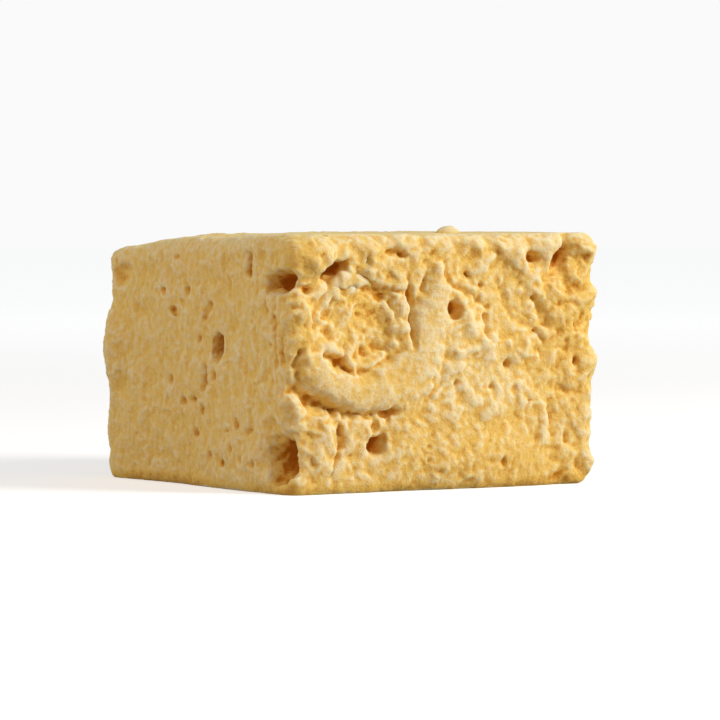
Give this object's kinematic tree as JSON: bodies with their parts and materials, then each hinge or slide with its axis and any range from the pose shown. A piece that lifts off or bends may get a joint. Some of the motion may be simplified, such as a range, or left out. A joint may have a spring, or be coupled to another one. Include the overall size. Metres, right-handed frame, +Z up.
{
  "type": "marshmallow",
  "caption": "Hand-cut square block of soft honey-yellow marshmallow with torn, crumbly foam sides and a dragged hook-shaped fold.",
  "frame": {"origin": "middle of the block's outline, at the level of its flat base", "axes": "+Z up out of the crowned top; the front with the hook-shaped fold faces -Y, and the side left of the shown edge faces -X"},
  "size_m": [0.0366, 0.0374, 0.0263],
  "materials": {
    "marshmallow_foam": "matte, powdery aerated sugar foam with pores and crumbs"
  },
  "bodies": {
    "root": {"marshmallow": "marshmallow_foam"}
  },
  "joints": []
}
